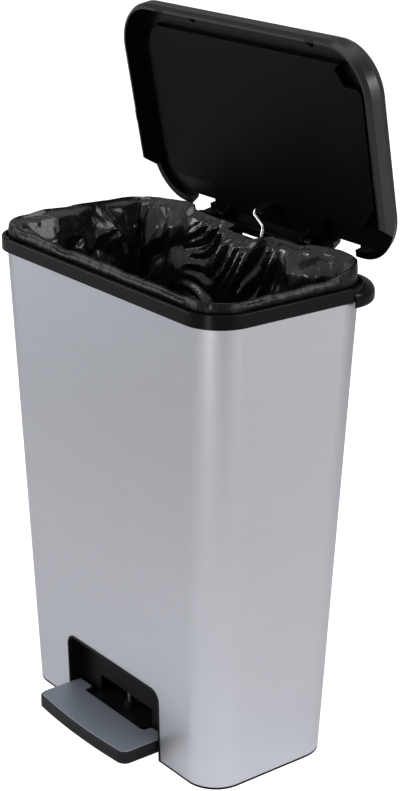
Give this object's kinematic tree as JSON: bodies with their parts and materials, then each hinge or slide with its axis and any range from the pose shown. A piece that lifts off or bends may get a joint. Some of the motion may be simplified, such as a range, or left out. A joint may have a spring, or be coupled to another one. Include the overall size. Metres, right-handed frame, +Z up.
{
  "type": "pedal trash can",
  "caption": "Tapered brushed-steel kitchen bin on a black foot ring, with a hinged black lid worked by a front pedal through a rod up the rear wall, and a bag folded over its collar.",
  "frame": {"origin": "centre of the foot ring's underside, on the floor", "axes": "+Z up; -Y is the front, where the pedal is; +Y is the rear, where the lid hinge is; +X is the can's left side seen from the rear"},
  "size_m": [0.4686, 0.3161, 0.8977],
  "materials": {
    "brushed_sheet": "fine horizontal brushing, clear protected",
    "black_base_plastic": "black moulded",
    "gloss_black_plastic": "glossy black moulded",
    "satin_black_plastic": "satin black moulded",
    "pedal_black_plastic": "satin black moulded",
    "pad_grey": "satin steel-grey",
    "bag_film": "thin glossy black film",
    "steel": "bright zinc plated wire and pins",
    "dark_steel": "blackened screws",
    "rubber_black": "soft black rubber"
  },
  "bodies": {
    "can": {"outer_shell": "brushed_sheet", "base_frame": "black_base_plastic", "pedal_recess": "black_base_plastic", "inner_floor": "black_base_plastic", "rim_collar": "gloss_black_plastic", "hinge_housing": "gloss_black_plastic", "hinge_pin_left": "steel", "hinge_pin_right": "steel", "liner_bag": "bag_film", "rod_guide_lower": "black_base_plastic", "rod_guide_upper": "black_base_plastic", "pedal_axle": "steel", "axle_bracket_left": "black_base_plastic", "axle_bracket_right": "black_base_plastic", "axle_clips": "steel", "base_screws": "steel"},
    "lid": {"lid_cover": "satin_black_plastic", "lid_inner_panel": "satin_black_plastic", "lid_hinge_box": "satin_black_plastic", "rod_clip": "black_base_plastic", "hinge_box_screws": "dark_steel", "lid_buffers": "rubber_black"},
    "rod": {"push_rod": "steel", "rod_foot_cap": "black_base_plastic"},
    "pedal": {"pedal_body": "pedal_black_plastic", "pedal_pad": "pad_grey", "pedal_lever": "steel", "lever_eye": "steel"}
  },
  "joints": [
    {"name": "lid_hinge", "type": "hinge", "parent": "can", "child": "lid", "pos_m": [0, 0.14, 0.632], "axis": [1, 0, 0], "range_deg": [0, 79.2]},
    {"name": "rod_hook", "type": "hinge", "parent": "lid", "child": "rod", "pos_m": [0, 0.12336, 0.65998], "axis": [1, 0, 0], "range_deg": [-77.5, 0]},
    {"name": "pedal_axle_hinge", "type": "hinge", "parent": "can", "child": "pedal", "pos_m": [0, -0.045, 0.022], "axis": [-1, 0, 0], "range_deg": [0, 17.86]}
  ],
  "couplings": [
    {"joint": "rod_hook", "follows": "lid_hinge", "ratio": -0.9779},
    {"joint": "pedal_axle_hinge", "follows": "lid_hinge", "ratio": 0.22538}
  ]
}
